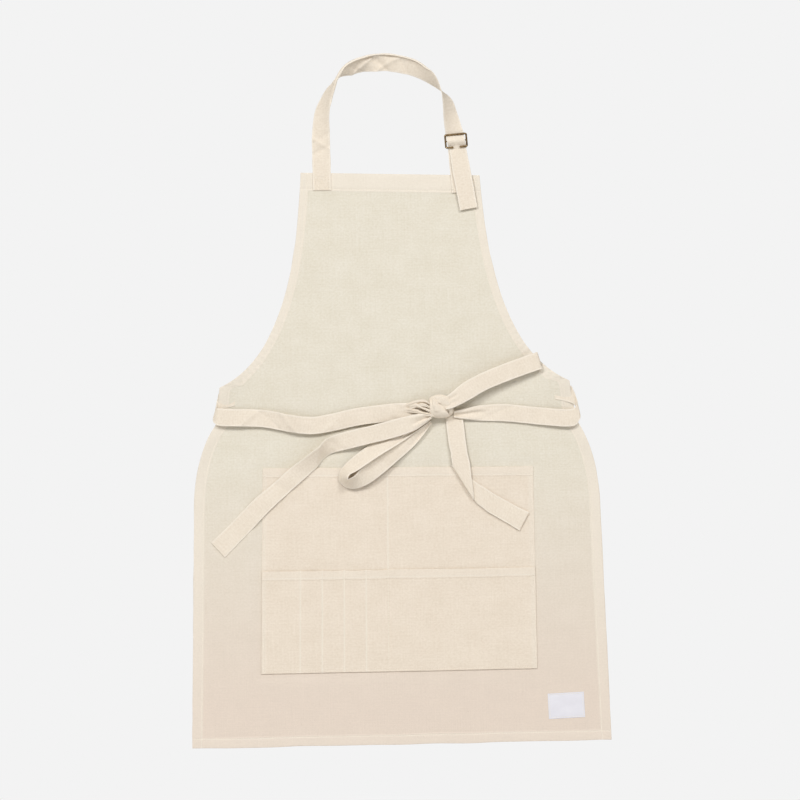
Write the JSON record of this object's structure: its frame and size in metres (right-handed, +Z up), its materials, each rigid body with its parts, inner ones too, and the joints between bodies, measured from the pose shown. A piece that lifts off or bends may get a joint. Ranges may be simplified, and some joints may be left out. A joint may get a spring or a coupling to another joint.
{
  "type": "bib apron",
  "caption": "Cotton bib apron laid out flat, with patch pockets, an adjustable neck strap on a wire slider, and waist ties tied in a front bow.",
  "frame": {"origin": "middle of the bottom hem, in the plane of the cloth's back", "axes": "+Z up from the hem to the neck, the front faces -Y, +X to the right as the front is looked at"},
  "size_m": [0.602, 0.026, 0.9914],
  "materials": {
    "cotton_body": "matte",
    "cotton_pocket": "matte",
    "cotton_tape": "matte",
    "thread": "matte",
    "woven_label": "satin",
    "slider_metal": "satin"
  },
  "bodies": {
    "apron": {"body_panel": "cotton_body", "upper_pocket": "cotton_pocket", "brush_pocket": "cotton_pocket", "label": "woven_label", "strap_sewn_end": "cotton_tape", "tab_sewn_end": "cotton_tape", "tie_left": "cotton_tape", "tie_right": "cotton_tape", "bow_knot": "cotton_tape", "bib_hem_seam": "thread", "armhole_seams": "thread", "side_seams": "thread", "bottom_seam": "thread", "upper_pocket_hem_seam": "thread", "brush_pocket_hem_seam": "thread", "pocket_edge_seam": "thread", "divider_seams": "thread", "brush_slot_seams": "thread", "label_seam": "thread", "strap_seam": "thread", "tab_seam": "thread", "tie_seams": "thread"},
    "neck_loop": {"neck_strap": "cotton_tape", "buckle_tab": "cotton_tape"},
    "slider": {"slider_frame": "slider_metal", "slider_bar": "slider_metal", "strap_in_slider": "cotton_tape"},
    "tail": {"strap_tail": "cotton_tape"},
    "left_loop": {"bow_loop_left": "cotton_tape"},
    "right_loop": {"bow_loop_right": "cotton_tape"},
    "left_tail": {"tie_tail_left": "cotton_tape"},
    "right_tail": {"tie_tail_right": "cotton_tape"}
  },
  "joints": [
    {"name": "neck_loop_fold", "type": "hinge", "parent": "apron", "child": "neck_loop", "pos_m": [0, 0.0003, 0.8188], "axis": [-0.9994, 0, 0.035], "range_deg": [0, 170]},
    {"name": "slider_tilt", "type": "hinge", "parent": "neck_loop", "child": "slider", "pos_m": [0.0955, -0.0066, 0.864], "axis": [-0.9976, 0, -0.0698], "range_deg": [0, 35]},
    {"name": "strap_adjust", "type": "slide", "parent": "slider", "child": "tail", "axis": [0.187, 0, -0.9824], "range_m": [0, 0.05]},
    {"name": "left_loop_swing", "type": "hinge", "parent": "apron", "child": "left_loop", "pos_m": [0.066, -0.0105, 0.483], "axis": [0, -1, 0], "range_deg": [0, 18]},
    {"name": "right_loop_swing", "type": "hinge", "parent": "apron", "child": "right_loop", "pos_m": [0.066, -0.0105, 0.483], "axis": [0, -1, 0], "range_deg": [-12, 28]},
    {"name": "left_tail_lift", "type": "hinge", "parent": "apron", "child": "left_tail", "pos_m": [0.0475, -0.0145, 0.4745], "axis": [-0.4226, 0, 0.9063], "range_deg": [0, 60]},
    {"name": "right_tail_lift", "type": "hinge", "parent": "apron", "child": "right_tail", "pos_m": [0.0855, -0.0048, 0.459], "axis": [-0.9986, 0, -0.0523], "range_deg": [0, 60]}
  ]
}
